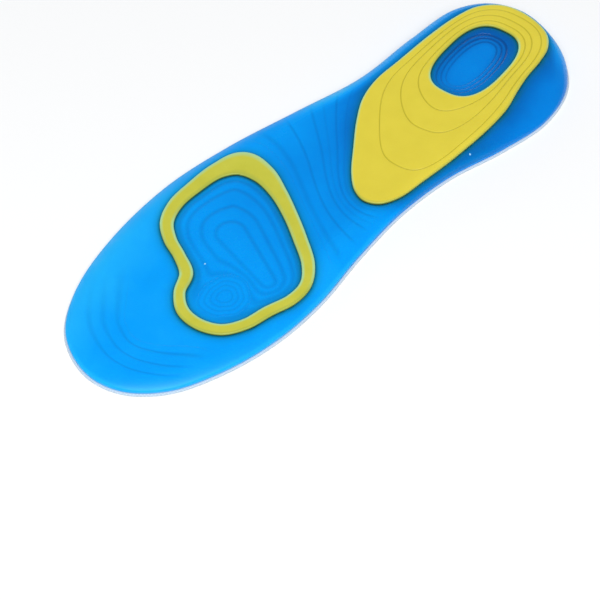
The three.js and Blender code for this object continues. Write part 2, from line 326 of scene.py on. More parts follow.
# heel and arch insert: the space between its outer line and the oval window
pad = {
    "depth": 1.75,  # mm below the sole's surface
    "proud": 1.0,  # mm above it
    "edgeRadius": 0.6,
    "columns": 720,
    "linePoints": 420,  # of the line that the gel's marks are measured from
    "rimRows": (0.5, 1.1),  # mm from the corner, close enough to draw its painted pale glow
    "underRows": (0.0, 0.35, 0.8, 1.2, 1.7),  # mm in from each side, under it
    "grooveDepth": 0.22,
    "grooveWidth": 0.3,
    "grooveRows": (-1.0, -0.55, -0.35, -0.18, 0.0, 0.18, 0.35, 0.55, 1.0),  # mm beside a line's middle
    # a row for each engraved line: its share of the way from the window to the outer edge, toward the tip and
    # toward the heel; how much less of it on the inner side; radians over which its reach is evened out;
    # radians by which it is turned round on the inner side of the tip; mm that it leaves to the outer edge
    "grooves": (
        (0.172, 0.22, 0.0, 0.12, 0.0, 5.4),
        (0.385, 0.47, 0.04, 0.15, 0.11, 3.25),
        (0.69, 0.74, -0.02, 0.07, 0.08, 1.1),
    ),
    "tipPower": 1.5,  # how soon a line leaves its share at the tip
    "turnRuns": ((-0.1, 0.15), (1.2, 0.5)),  # radians from the tip over which the turn comes in and goes out
    "tipRow": 12,  # the row at the tip
    # x, y
    "rows": [
        (-134.9, -3.1), (-133.2, 10.3), (-126, 17.8), (-115.5, 21.7), (-105, 23.6), (-95.2, 26.2),
        (-83.2, 30), (-68, 32), (-48, 32.3), (-28, 31.6), (-12, 30.7), (-3.9, 27.4), (-0.5, 21.4),
        (-1.8, 14.7), (-7.6, 7), (-19.7, -3.6), (-32.5, -14), (-43.6, -21), (-56, -24.7), (-72, -25.6),
        (-95, -26.6), (-112, -25.8), (-123.7, -22.8), (-132.4, -14.6),
    ],
    # a superellipse; rounding: how much rounder it gets for each mm that it is drawn in
    "window": {
        "centre": (-95.7, -0.3), "halfLength": 23.9, "halfWidth": 14.9,
        "power": 2.7, "tilt": 0.13, "rounding": 0.05,
    },
}


# place of points along and across the window
def windowAxes(points):
    tilt = pad["window"]["tilt"]
    dx, dy = (points[:, :2] - pad["window"]["centre"]).T
    return dx * math.cos(tilt) + dy * math.sin(tilt), dy * math.cos(tilt) - dx * math.sin(tilt)


# window's superellipse: distance inward from its line, to first order, for an oval drawn in by inset
def ovalInset(points, inset):
    window = pad["window"]
    along, across = windowAxes(points)
    halfLength, halfWidth = window["halfLength"] - inset, window["halfWidth"] - inset
    power = window["power"] - window["rounding"] * inset
    long, short = np.abs(along) / halfLength + tiny, np.abs(across) / halfWidth + tiny
    rho = (long**power + short**power)**(1 / power)
    slope = rho**(1 - power) * np.hypot(long**(power - 1) / halfLength, short**(power - 1) / halfWidth)
    return (1 - rho) / slope


# point of the window's line in the direction of each given point
def ovalToward(points):
    window = pad["window"]
    along, across = windowAxes(points)
    power = window["power"]
    long, short = np.abs(along) / window["halfLength"], np.abs(across) / window["halfWidth"]
    rho = (long**power + short**power)**(1 / power)
    return window["centre"] + (points[:, :2] - window["centre"]) / rho[:, None]


# a width round the window, averaged over the turns nearby with a bell curve of the given spread
def evenOut(wanted, turn, width, spread):
    apart = np.angle(np.exp(1j * (wanted[:, None] - turn)))
    weight = np.exp(-(apart / spread)**2 / 2)
    weight *= np.abs(np.gradient(np.unwrap(turn)))
    return (weight * width).sum(1) / weight.sum(1)


# pad: rows run round its section, from the window's side over the top, with three engraved lines, to the
# outer side and back under it; across is mm from the window's side, drop mm below the top
def makePad():
    outer = loopThrough(pad["rows"], evenShares(pad["columns"]))[:, :2]
    inner = ovalToward(outer)
    width = np.linalg.norm(outer - inner, axis=1)
    centre = np.array(pad["window"]["centre"])
    turn = np.arctan2(*(outer - centre).T[::-1])
    turn -= math.atan2(*(np.array(pad["rows"][pad["tipRow"]]) - centre)[::-1])
    toTip = ((1 + np.cos(turn)) / 2)**pad["tipPower"]
    turned = inRamps(turn, *pad["turnRuns"])
    radius = pad["edgeRadius"]
    corner, cornerDrop = roundCorner(radius)
    beside = np.array(pad["grooveRows"])[:, None]
    engraved = np.exp(-(beside / pad["grooveWidth"])**2) + 0 * width
    crowded = np.array([*pad["rimRows"], np.inf, np.inf])[:, None]  # mm from a corner at most
    across, drop, groove = [corner + 0 * width], [cornerDrop + 0 * width], [0 * (corner + width)]
    previous = radius + 0 * width
    for tip, heel, lean, spread, shift, left in pad["grooves"]:
        share = heel + (tip - heel) * toTip - lean * np.sin(turn)
        evened = evenOut(turn - shift * turned, turn, width, spread)
        line = np.minimum(share * evened, width - radius - left)
        fill = evenRows * (line + beside[0] - previous)
        if len(across) == 1:
            fill = np.minimum(fill, crowded)
        across += [previous + fill, line + beside]
        drop += [0 * fill, pad["grooveDepth"] * engraved]
        groove += [0 * fill, engraved]
        previous = line + beside[-1]
    fill = np.minimum(evenRows * (width - radius - previous), crowded)[::-1]
    across += [width - radius - fill, width - corner[::-1]]
    drop += [0 * fill, cornerDrop[::-1] + 0 * width]
    groove += [0 * fill, 0 * (corner + width)]
    low = np.array(pad["underRows"])[:, None]
    across = np.vstack(across + [width - low, width[None] / 2, low[::-1] + 0 * width])
    plan = inner + (across / width)[..., None] * (outer - inner)
    edgeWays = sideways(outer), -sideways(inner)
    return makeInsert("heelArchPad", pad, plan, across, width, np.vstack(drop), np.vstack(groove), edgeWays)


# forefoot insert: a band of changing width along a loop
ring = {
    "depth": 1.15,
    "proud": 0.9,
    "edgeRadius": 0.55,
    "columns": 600,
    "linePoints": 420,
    "underRows": (0.0, 0.35, 0.8, 1.2),  # mm in from each side, under it
    # x, y, width
    "rows": [
        (21.8, -8.2, 7.8), (27.3, 5.1, 6.4), (33.9, 17.8, 6.1), (41.5, 30.2, 5.6), (49.7, 36.9, 5),
        (59, 38.4, 5.1), (70.2, 36.2, 5.4), (81.2, 34.5, 5.3), (89.8, 29.8, 5.4), (94.3, 21.2, 5.4),
        (94.2, 11.9, 5.3), (88.9, 3.9, 4.9), (80.2, -1.7, 5.8), (75.8, -10.8, 5.2), (72.6, -20.1, 5.6),
        (67, -28.5, 6), (57.5, -33.6, 6.6), (45.9, -35.3, 7.2), (31.2, -35.4, 9.2), (21, -30.8, 13.8),
        (19, -20.6, 11),
    ],
}


# ring: a rounded section carried along the loop, inner side over the top to the outer side and back under it
def makeRing():
    loop = loopThrough(ring["rows"], evenShares(ring["columns"]))
    outward, width = sideways(loop), loop[:, 2]
    radius = ring["edgeRadius"]
    corner, cornerDrop = roundCorner(radius)
    low = np.array(ring["underRows"])[:, None]
    across = np.vstack([corner + 0 * width, radius + evenRows * (width - 2 * radius), width - corner[::-1],
                        width - low, low[::-1] + 0 * width])
    drop = np.vstack([cornerDrop, 0 * evenRows, cornerDrop[::-1]]) + 0 * width
    plan = loop[:, :2] + (across - width / 2)[..., None] * outward
    return makeInsert("forefootRing", ring, plan, across, width, drop, 0 * drop, (outward, -outward))


# the inserts' own lines, which the gel's pockets and marks are measured from
padLoop = loopThrough(pad["rows"], evenShares(pad["linePoints"]))
ringLoop = loopThrough(ring["rows"], evenShares(ring["linePoints"]))
# from the ring's middle line to its outer edge, with the width left as it is
ringHalf = np.column_stack([sideways(ringLoop) * ringLoop[:, 2:] / 2, np.zeros(len(ringLoop))])
ringOuter, ringInner = ringLoop + ringHalf, ringLoop - ringHalf

# a ramp's two values are the place where something is nothing, then the place where it is full
gel = {
    "halfColumns": 450,
    "shoulderRows": 15,
    "flatRows": 78,
    "shoulderSpan": 1.25,  # share of the shoulder that the close rows cover
    "shoulderMost": 0.75,  # share of the way to the spine that they may take
    "sideHeights": (2.3, 1.75, 1.25),  # rows of the upright side above its foot
    "sideRoll": 0.22,  # mm that its foot is drawn in
    "underRows": (-1.5, 0.0, 0.6, 1.8, 4.0, 7.0, 11.0, 16.0),  # mm inward of the flat rim
    "underMost": (0.2, 0.9),  # share of the way to the spine that the first and the last of them may take
    "dip": 0.35,  # groove beside an insert
    "dipWidth": 0.8,
    "lineDepth": 0.12,
    "lineSpread": 0.75,  # line widths
    "pitchRange": (0.2, 40.0),  # mm
    "plainPitch": 5.0,  # line widths, where no line is drawn
    # lines of the midfoot
    "flow": {
        # place from the pad's edge, 0, to the ring's edge, 1; strength; width in mm
        "lines": (
            (0.1, 0.45, 0.8), (0.185, 0.95, 0.9), (0.275, 0.4, 0.9), (0.365, 0.85, 1.0), (0.55, 0.95, 1.0),
            (0.75, 0.7, 2.0),
        ),
        "fromEdge": (2.5, 9.0),
        "alongX": ((-70.0, -35.0), (58.0, 28.0)),
    },
    # lines inside the ring
    "contour": {
        "stops": (0.0, 0.36, 0.69, 0.88),  # core 0, ring's inner edge 1
        "width": 1.75,
        "strength": 0.85,
        "core": ((52.0, -5.0, 6.4), (59.2, 24.6, 3.2)),  # x, y, radius at the two ends of the middle teardrop
        "eyeBlend": 4.0,  # mm over which the ring's edge and the eye run together
        "leastReach": 0.3,
        "terrace": 0.16,  # mm that each contour steps up
        "terraceRun": (-0.7, 0.7),
    },
    # small ringed spot inside the ring
    "eye": {
        "centre": (77.0, 18.0), "turn": 0.79, "long": 10.4, "short": 9.6,
        # share of the radius, waves in a turn, start
        "wobble": ((0.07, 2, 0.6), (0.05, 3, 2.0), (0.02, 7, 1.0)),
        "rings": 4.4,
        "lastRing": 5,  # number of the outermost
        "skirt": 0.3,  # rings past the outermost that still belong to the eye
        "margin": 2.0,  # mm that the contours keep from it
        "width": 0.8,
        "strength": 0.55,
        "pupil": (0.1, 0.3),
    },
    # arcs at the toe
    "toe": {
        "stops": (10.8, 16.2, 21.5),  # mm from the edge at the middle of the toe
        "middle": 2.0,
        "reach": 41.0,  # mm to each side over which the toe's lines run into the edge
        "leastCrowding": 0.15,
        "width": (1.7, 0.65),  # outer side, inner side
        "strength": (0.55, 0.85),
        "innerSide": (-8.0, 14.0),
        "fromRing": (1.5, 5.0),
        "alongX": (84.0, 102.0),
        "acrossY": ((-30.0, -8.0), (38.0, 28.0)),
    },
    # steps inside the pad's window
    "basin": {
        "steps": ((3.5, 0.24, 5.4), (5.5, 0.24, 4.0), (7.6, 0.22, 3.0)),  # inset, drop, strength of its line
        "shift": (1.7, -0.35),
        "run": (-0.75, 0.75),
        "pitch": 4.0,
        "width": 0.75,
        "widen": 0.3,  # more of it on the side away from the light, and less on the other
        "nearSide": 0.35,  # strength of the lines on the light's side against the far one
        # painted shade in the window: its band darker, more so on the side away from the light, and its
        # middle lighter
        "bandTone": 1.2,
        "bandLean": 0.2,
        "centreTone": 0.7,
        "centreRun": (-6.0, 4.0),
    },
    # painted shade round the inserts: a dark line in the crease beside each one, and a softer shade beyond it
    "crease": {
        "parts": ((0.62, 1.0), (0.38, 2.8)),  # strength and mm of its dark line and of the shade beside it
        "strip": 0.22,  # painted shade between the pad and the inner edge
        "stripX": ((-5.0, -18.0), (-76.0, -52.0)),
        "stripY": (24.0, 30.0),
    },
    # depth of colour: 0 at the toe, higher where the gel is thick; partly painted light: painted shade at the
    # heel, beside the pad and inside the ring, and painted paler on the forefoot's outer side, the inner lip,
    # the upright side and the heel's outer wall
    "tone": {
        # deeper toward the heel, partly for the thicker gel and partly as painted shade
        "heel": 0.75,
        "heelX": (105.0, -70.0),
        # painted shade inside the ring, deeper on the low terraces toward it
        "core": 0.045,  # inside the ring
        "towardRing": 0.09,  # more of it from the core to the ring
        # painted shade beside the pad
        "besidePad": 0.5,
        "besideWidth": 8.0,
        "besideX": (10.0, -30.0),
        # amount, then the mm from the edge, the x and the y over which it comes in
        "edges": (
            (-0.4, (32.0, 1.0), ((-60.0, 0.0),), (10.0, -25.0)),  # outer side of the forefoot: paler where the gel thins, and as a painted reflection
            (-0.3, (1.8, 0.4), ((-80.0, -45.0),), (-20.0, 5.0)),  # painted highlight along the lip of the inner side
            (-0.28, (18.0, 8.0), ((-14.0, 2.0), (62.0, 42.0)), (18.0, 28.0)),  # arch
        ),
        # painted light: the heel's outer wall and end painted paler, for the pale ground's light through and
        # off them
        "wall": -1.2,
        "wallEdge": (10.0, 4.0),
        "wallX": (0.0, -50.0),
        "wallY": (-8.0, -24.0),
        "endX": (-112.0, -132.0),
        "endY": (42.0, 16.0),
        "side": (-0.35, -0.45, -0.6, -0.75),  # rows of the upright side, painted paler toward its foot as painted light through the thin edge
        "sideX": (60.0, -30.0),
    },
}


# numbers a field so that each stop is a whole number, and gives the mm that one number takes up and where the
# lines are drawn
def levelLines(field, stops, reach):
    ends = np.concatenate([[2 * stops[0] - stops[1]], stops, [2 * stops[-1] - stops[-2]]])
    slot = np.clip(np.searchsorted(ends, field) - 1, 0, len(ends) - 2)
    step = ends[slot + 1] - ends[slot]
    number = slot + (field - ends[slot]) / step
    drawn = (number > 0.5) & (number < len(stops) + 0.5)
    return number, np.clip(step * reach, *gel["pitchRange"]), drawn


# what the sole's marks are measured from: mm to the pad's and the ring's lines, whether a point is inside
# them, and mm inward of each insert's own edge
def soleFields(points):
    padFar, _, inPad = nearestEdge(points, padLoop)
    outFar, _, inOuter = nearestEdge(points, ringOuter)
    inFar, _, inInner = nearestEdge(points, ringInner)
    inset = ovalInset(points, 0.0)
    inWindow = inset > 0
    padIn = np.where(inPad & ~inWindow, np.minimum(padFar, -inset), np.where(inPad, -inset, -padFar))
    ringFar = np.minimum(outFar, inFar)
    ringIn = np.where(inOuter & ~inInner, ringFar, -ringFar)
    return SimpleNamespace(
        padFar=padFar, inPad=inPad, outFar=outFar, inOuter=inOuter, inFar=inFar, inInner=inInner,
        inWindow=inWindow, padIn=padIn, ringIn=ringIn)


# inside the ring: how far out a point is in the eye's wobbly oval; its share of the way from the core to the
# ring or to the eye, whichever is nearer, by a smooth minimum; and the mm of that way
def ringFields(x, y, near):
    contour, eye = gel["contour"], gel["eye"]
    (fromX, fromY, fromRadius), (toX, toY, toRadius) = contour["core"]
    runX, runY = toX - fromX, toY - fromY
    share = np.clip(((x - fromX) * runX + (y - fromY) * runY) / (runX**2 + runY**2), 0, 1)
    coreFar = np.hypot(x - fromX - share * runX, y - fromY - share * runY)
    coreFar -= fromRadius + share * (toRadius - fromRadius)
    dx, dy, turn = x - eye["centre"][0], y - eye["centre"][1], eye["turn"]
    along = (dx * math.cos(turn) + dy * math.sin(turn)) / eye["long"]
    beside = (dy * math.cos(turn) - dx * math.sin(turn)) / eye["short"]
    angle = np.arctan2(beside, along)
    rho = np.hypot(along, beside)
    rho *= 1 + sum(size * np.sin(waves * angle + start) for size, waves, start in eye["wobble"])
    eyeFar = np.maximum(rho - 1, 0) * (eye["long"] + eye["short"]) / 2 + eye["margin"]
    blend = np.clip(1 - np.abs(near.inFar - eyeFar) / contour["eyeBlend"], 0, 1)
    outward = np.minimum(near.inFar, eyeFar) - blend**2 * contour["eyeBlend"] / 4
    reach = np.maximum(coreFar, 0) + np.maximum(outward, contour["leastReach"])
    return rho, coreFar / reach, reach


# the window: mm inward of each of its steps, and how far a point lies away from the light, from -1 to 1
def basinFields(points):
    basin, window = gel["basin"], pad["window"]
    steps = np.array([ovalInset(points - basin["shift"], inset) for inset, _, _ in basin["steps"]])
    wayBack = np.clip(-(points - window["centre"]) @ lightWay / window["halfWidth"], -1, 1)
    return steps, wayBack


# midfoot: level lines of the share of the way from the pad to the ring
def flowLines(x, edge, near):
    flow = gel["flow"]
    stops, strengths, widths = np.array(flow["lines"]).T
    apart = near.padFar + near.outFar
    number, pitch, drawn = levelLines(near.padFar / (apart + tiny), stops, apart)
    line = np.clip(np.round(number).astype(int) - 1, 0, len(stops) - 1)
    shown = (~near.inPad & ~near.inOuter & drawn) * smoothRamp(edge, *flow["fromEdge"])
    return number, pitch / widths[line], strengths[line] * shown * inRamps(x, *flow["alongX"])


# inside the ring: level lines of the way from the core, and the eye's own rings
def ringLines(rho, climb, reach, near):
    contour, eye = gel["contour"], gel["eye"]
    number, pitch, drawn = levelLines(climb, contour["stops"], reach)
    inEye = rho < 1 + eye["skirt"] / eye["rings"]
    contours = number, pitch / contour["width"], contour["strength"] * (near.inInner & drawn & ~inEye)
    eyePitch = np.full(len(rho), (eye["long"] + eye["short"]) / 2 / eye["rings"] / eye["width"])
    eyeStrength = eye["strength"] * (inEye & near.inInner) * smoothRamp(rho, *eye["pupil"])
    return contours, ((rho - 1) * eye["rings"] + eye["lastRing"], eyePitch, eyeStrength)


# toe: level lines of the mm from the edge, ahead of the ring, crowded toward the edge on both sides
def toeLines(x, y, edge, near):
    toe = gel["toe"]
    crowding = np.maximum(1 - ((y - toe["middle"]) / toe["reach"])**2, toe["leastCrowding"])
    number, pitch, drawn = levelLines(edge / crowding, toe["stops"], crowding)
    innerSide = smoothRamp(y, *toe["innerSide"])
    sides = toe["width"], toe["strength"]
    width, strength = [outer + (inner - outer) * innerSide for outer, inner in sides]
    shown = (~near.inOuter & drawn) * smoothRamp(near.outFar, *toe["fromRing"])
    shown = shown * smoothRamp(x, *toe["alongX"]) * inRamps(y, *toe["acrossY"])
    return number, pitch / width, strength * shown


# window: lines along its steps, painted shade that is wider and stronger on the side away from the light
def basinLines(steps, wayBack, near):
    basin = gel["basin"]
    far = np.abs(steps)
    number = np.minimum(far.min(0) / basin["pitch"], 0.5)
    width = basin["width"] * (1 + basin["widen"] * wayBack)
    farShare = basin["nearSide"] + (1 - basin["nearSide"]) * (1 + wayBack) / 2
    strength = np.array([strong for _, _, strong in basin["steps"]])[far.argmin(0)] * farShare
    return number, basin["pitch"] / width, strength * near.inWindow


# crease: painted shade in bell curves beside each insert, and a faint painted shade in the narrow strip
# between the pad and the inner edge
def creaseShade(x, y, near):
    crease = gel["crease"]
    shade = crease["strip"] * inRamps(x, *crease["stripX"]) * smoothRamp(y, *crease["stripY"])
    for inside in (near.padIn, near.ringIn):
        outside = np.minimum(inside, 0)
        shade = np.maximum(shade, sum(part * np.exp(-(outside / run)**2) for part, run in crease["parts"]))
    return shade


# depth of colour, partly painted light: light at the toe, and at the edges with painted highlights and
# reflections; deep at the heel; painted shade beside the pad and in the window's band
def gelDepthAndPaintedLight(x, y, edge, near, climb, steps, wayBack):
    tone, basin = gel["tone"], gel["basin"]
    depth = tone["heel"] * smoothRamp(x, *tone["heelX"])
    depth += near.inInner * (tone["core"] + tone["towardRing"] * np.clip(climb, 0, 1))
    besidePad = np.exp(-(np.minimum(near.padIn, 0) / tone["besideWidth"])**2)
    depth += tone["besidePad"] * besidePad * smoothRamp(x, *tone["besideX"])
    for amount, fromEdge, alongX, acrossY in tone["edges"]:
        depth += amount * smoothRamp(edge, *fromEdge) * inRamps(x, *alongX) * smoothRamp(y, *acrossY)
    heelEnd = smoothRamp(x, *tone["endX"]) * smoothRamp(y, *tone["endY"])
    farSide = np.maximum(smoothRamp(y, *tone["wallY"]), heelEnd) * smoothRamp(x, *tone["wallX"])
    depth += tone["wall"] * smoothRamp(edge, *tone["wallEdge"]) * farSide
    band = basin["bandTone"] + basin["bandLean"] * wayBack
    windowDepth = band + (basin["centreTone"] - band) * smoothRamp(steps[-1], *basin["centreRun"])
    return np.where(near.inWindow, windowDepth, depth)


# relief and marks of the sole: lines as soft grooves, terraces that rise from the ring to the core with a
# step at each contour, the window's steps down, and the pockets with a dip beside each insert
def soleRelief(points, edge):
    x, y = points.T
    near = soleFields(points)
    rho, climb, reach = ringFields(x, y, near)
    steps, wayBack = basinFields(points)
    # the strongest line at each point; linePitch counts line widths, so that one curve draws all of them
    number, pitch, strength = np.zeros(len(x)), np.full(len(x), gel["plainPitch"]), np.zeros(len(x))
    for lineNumber, linePitch, lineStrength in (
            flowLines(x, edge, near), *ringLines(rho, climb, reach, near),
            toeLines(x, y, edge, near), basinLines(steps, wayBack, near)):
        on = lineStrength > strength
        number[on], pitch[on], strength[on] = lineNumber[on], linePitch[on], lineStrength[on]
    away = np.abs(number - np.round(number)) * pitch
    grooved = np.where(near.inWindow, 0, strength)
    height = -gel["lineDepth"] * grooved * np.exp(-(away / gel["lineSpread"])**2)

    contour, basin = gel["contour"], gel["basin"]
    for stop in contour["stops"]:
        terrace = contour["terrace"] * smoothRamp((stop - climb) * reach, *contour["terraceRun"])
        height += np.where(near.inInner, terrace, 0)
    for far, (_, drop, _) in zip(steps, basin["steps"]):
        height -= np.where(near.inWindow, drop * smoothRamp(far, *basin["run"]), 0)
    for inside, insert in ((near.padIn, pad), (near.ringIn, ring)):
        height -= (insert["depth"] + pocket["clear"]) * smoothRamp(inside, 0.0, pocket["ramp"])
        height -= gel["dip"] * np.exp(-(inside / gel["dipWidth"])**2)
    # marks for the material: painted shade on the lines and in the crease, and the depth of colour with
    # painted light
    return height, {
        "lineNumber": number, "linePitch": pitch, "lineStrength": strength, "crease": creaseShade(x, y, near),
        "gelTone": gelDepthAndPaintedLight(x, y, edge, near, climb, steps, wayBack),
    }


# gel body: rows run from the spine over the sole to the edge, down the upright side, and back under it
def makeGelBody():
    edge, spine, mirror = soleColumns(gel["halfColumns"])
    inward = spine - edge[:, :2]
    reach = np.linalg.norm(inward, axis=1)
    shoulderShare = np.minimum(gel["shoulderSpan"] * edge[:, 2] / reach, gel["shoulderMost"])
    roll = 1 - np.cos(np.linspace(0, math.pi / 2, gel["shoulderRows"]))
    level = np.linspace(0, 1, gel["flatRows"] + 1)[1:]
    share = np.vstack([roll[:, None] * shoulderShare, shoulderShare + level[:, None] * (1 - shoulderShare)])
    flat = (edge[:, :2] + share[..., None] * inward).reshape(-1, 2)
    steep = gel["shoulderRows"] * len(edge)
    closeBy, further = nearestEdge(flat[:steep], fineOutline), nearestEdge(flat[steep:], outline)
    away, shoulder = [np.concatenate(both) for both in zip(closeBy[:2], further[:2])]
    away = np.where(share.ravel() == 0, 0, away)
    relief, marks = soleRelief(flat, away)
    height = soleHeight(flat, away, shoulder) + relief
    sole = np.column_stack([flat, height]).reshape(*share.shape, 3)[::-1]

    # upright side with a small roll at its foot
    sideHeights = np.array([*gel["sideHeights"], insole["seat"]])
    side = np.repeat(edge[None], len(sideHeights), 0)
    side[..., 2] = sideHeights[:, None]
    side[-1, :, :2] -= gel["sideRoll"] * sideways(edge)
    under = insole["rimWidth"] + np.array(gel["underRows"])
    most = np.linspace(*gel["underMost"], len(under))
    underShare = np.vstack([np.minimum(under[:, None] / reach, most[:, None]), np.ones((1, len(edge)))])
    underFlat = (edge[:, :2] + underShare[..., None] * inward).reshape(-1, 2)
    underAway, underShoulder, _ = nearestEdge(underFlat, outline)
    underHeight = footHeight(underFlat, underAway, underShoulder, insole["seat"], insole["rimWidth"])
    foot = np.column_stack([underFlat, underHeight]).reshape(*underShare.shape, 3)
    piece, used = gridMesh("gelBody", np.concatenate([sole, side, foot]), mirror)

    # the side and the underside carry no lines, and the side has its own depth of colour, painted paler
    # toward its foot as painted light
    tone = gel["tone"]
    plain = np.zeros((len(side) + len(foot), len(edge)))
    below = {name: plain for name in marks}
    below["linePitch"] = plain + gel["plainPitch"]
    sideTone = np.array(tone["side"])[:, None] + tone["heel"] * smoothRamp(edge[:, 0], *tone["sideX"])
    below["gelTone"] = np.vstack([sideTone, plain[len(side):]])
    for name, values in marks.items():
        whole = np.vstack([values.reshape(share.shape)[::-1], below[name]])
        paint(piece, name, whole.ravel()[used])
    return piece


cover = {
    "overhang": 0.8,  # mm past the gel
    "thickness": 1.0,
    "halfColumns": 240,
    "rim": 2.65,  # flat rim of its upper face, and of its lower one
    "rimBelow": 3.65,
    "edgeRows": 7,
    "rows": (0.5, 1.5, 3.0, 4.0, 5.5, 7.5, 10.0, 13.0, 16.5, 20.0, 24.0, 28.0),  # mm inward of its edge
    "rowsMost": (0.04, 0.92),  # share of the way to the spine that the first and the last of them may take
}


# cover: a thin sheet under the gel; rows run from the spine over its upper face to the half round edge and
# back below
def makeCover():
    edge, spine, mirror = soleColumns(cover["halfColumns"])
    outward = sideways(edge)
    rimLine = edge[:, :2] + cover["overhang"] * outward
    reach = np.linalg.norm(spine - rimLine, axis=1)
    inward = np.array(cover["rows"])[:, None]
    most = np.linspace(*cover["rowsMost"], len(inward))[:, None]
    share = np.vstack([np.minimum(inward / reach, most), np.ones((1, len(edge)))])
    plan = rimLine + share[..., None] * (spine - rimLine)
    flat = plan.reshape(-1, 2)
    away, shoulder, inside = nearestEdge(flat, outline)
    away = np.where(inside, away, 0)
    upper = footHeight(flat, away, shoulder, cover["thickness"], cover["rim"])
    lower = footHeight(flat, away, shoulder, 0.0, cover["rimBelow"])
    top, bottom = [np.column_stack([flat, height]).reshape(*share.shape, 3) for height in (upper, lower)]
    half = cover["thickness"] / 2
    angles = np.linspace(math.pi / 2, -math.pi / 2, cover["edgeRows"])[:, None, None]
    edgePlan = rimLine - half * outward + half * np.cos(angles) * outward
    edgeHeight = half + half * np.sin(angles) + 0 * edgePlan[..., :1]
    roundEdge = np.concatenate([edgePlan, edgeHeight], -1)
    piece, _ = gridMesh("topCover", np.concatenate([top[:0:-1], roundEdge, bottom[1:]]), mirror)
    return piece


gelBody, heelArchPad, forefootRing, topCover = makeGelBody(), makePad(), makeRing(), makeCover()


# sRGB hex to linear
def linear(hexColour):
    value = np.array([int(hexColour[k:k + 2], 16) for k in (0, 2, 4)]) / 255
    return (*np.where(value <= 0.04045, value / 12.92, ((value + 0.055) / 1.055)**2.4), 1.0)


# adds a node: a key that is an input's name or number sets or links that input, any other key sets a property
def addNode(tree, kind, **settings):
    node = tree.nodes.new(kind)
    for key, value in settings.items():
        name = key.replace("_", " ") if key[0].isupper() else key
        if name in node.inputs or key[0] == "i" and key[1:].isdigit():
            socket = node.inputs[int(key[1:]) if key[1:].isdigit() else name]
            if isinstance(value, bpy.types.NodeSocket):
                tree.links.new(value, socket)
            else:
                socket.default_value = value
        else:
            setattr(node, key, value)
    return node


def newMaterial(name):
    material = bpy.data.materials.new(name)
    material.use_nodes = True
    material.node_tree.nodes.clear()
    return material, material.node_tree


def wear(piece, material):
    piece.data.materials.append(material)


# moulded TPE gel: clear blue all through, lighter and more cyan where it is thin, deep in the heel; glossy,
# with soft moulded lines and two small bubbles; the lines and the creases beside the inserts are darkened
# with painted shade, and the depth of colour carries painted light and shade
blueGel = {
    # depth of colour, from the attribute gelTone, with its painted light and shade, and its colour
    "tones": ((-1.0, "9cc6ee"), (-0.4, "1cb2fc"), (0.0, "009ffa"), (0.75, "0080dc"), (1.4, "005bb0")),
    # painted shade along the moulded lines
    "line": "044d97",
    "lineShare": 0.24,
    "lineBump": (0.55, 0.12),  # strength, mm
    # painted shade in the creases beside the inserts
    "crease": "0c666b",
    "creaseShare": 0.85,
    "bubble": "a6deff",
    "bubbles": ((71.1, -0.3), (-53.3, 34.9)),  # x, y in mm
    "bubbleEdge": (0.45, 0.25),  # mm from its middle, outside and inside
    "cloud": 14.0,  # mm
    "cloudDetail": 2.0,
    "cloudShare": 0.3,
    "grain": 2.2,  # mm
    "grainDetail": 3.0,
    "grainBump": (0.03, 0.1),  # strength, mm
    "grainRough": 0.06,
    "roughness": (0.3, 0.15),  # in the pale forefoot, in the deep heel
    "roughTones": (0.0, 0.5),  # depths of colour for these two
    "ior": 1.41,
    "specular": 0.2,
    "scatter": 0.12,
    "scatterRadius": (0.3, 0.8, 1.4),
    "scatterScale": 1.2,  # mm
}


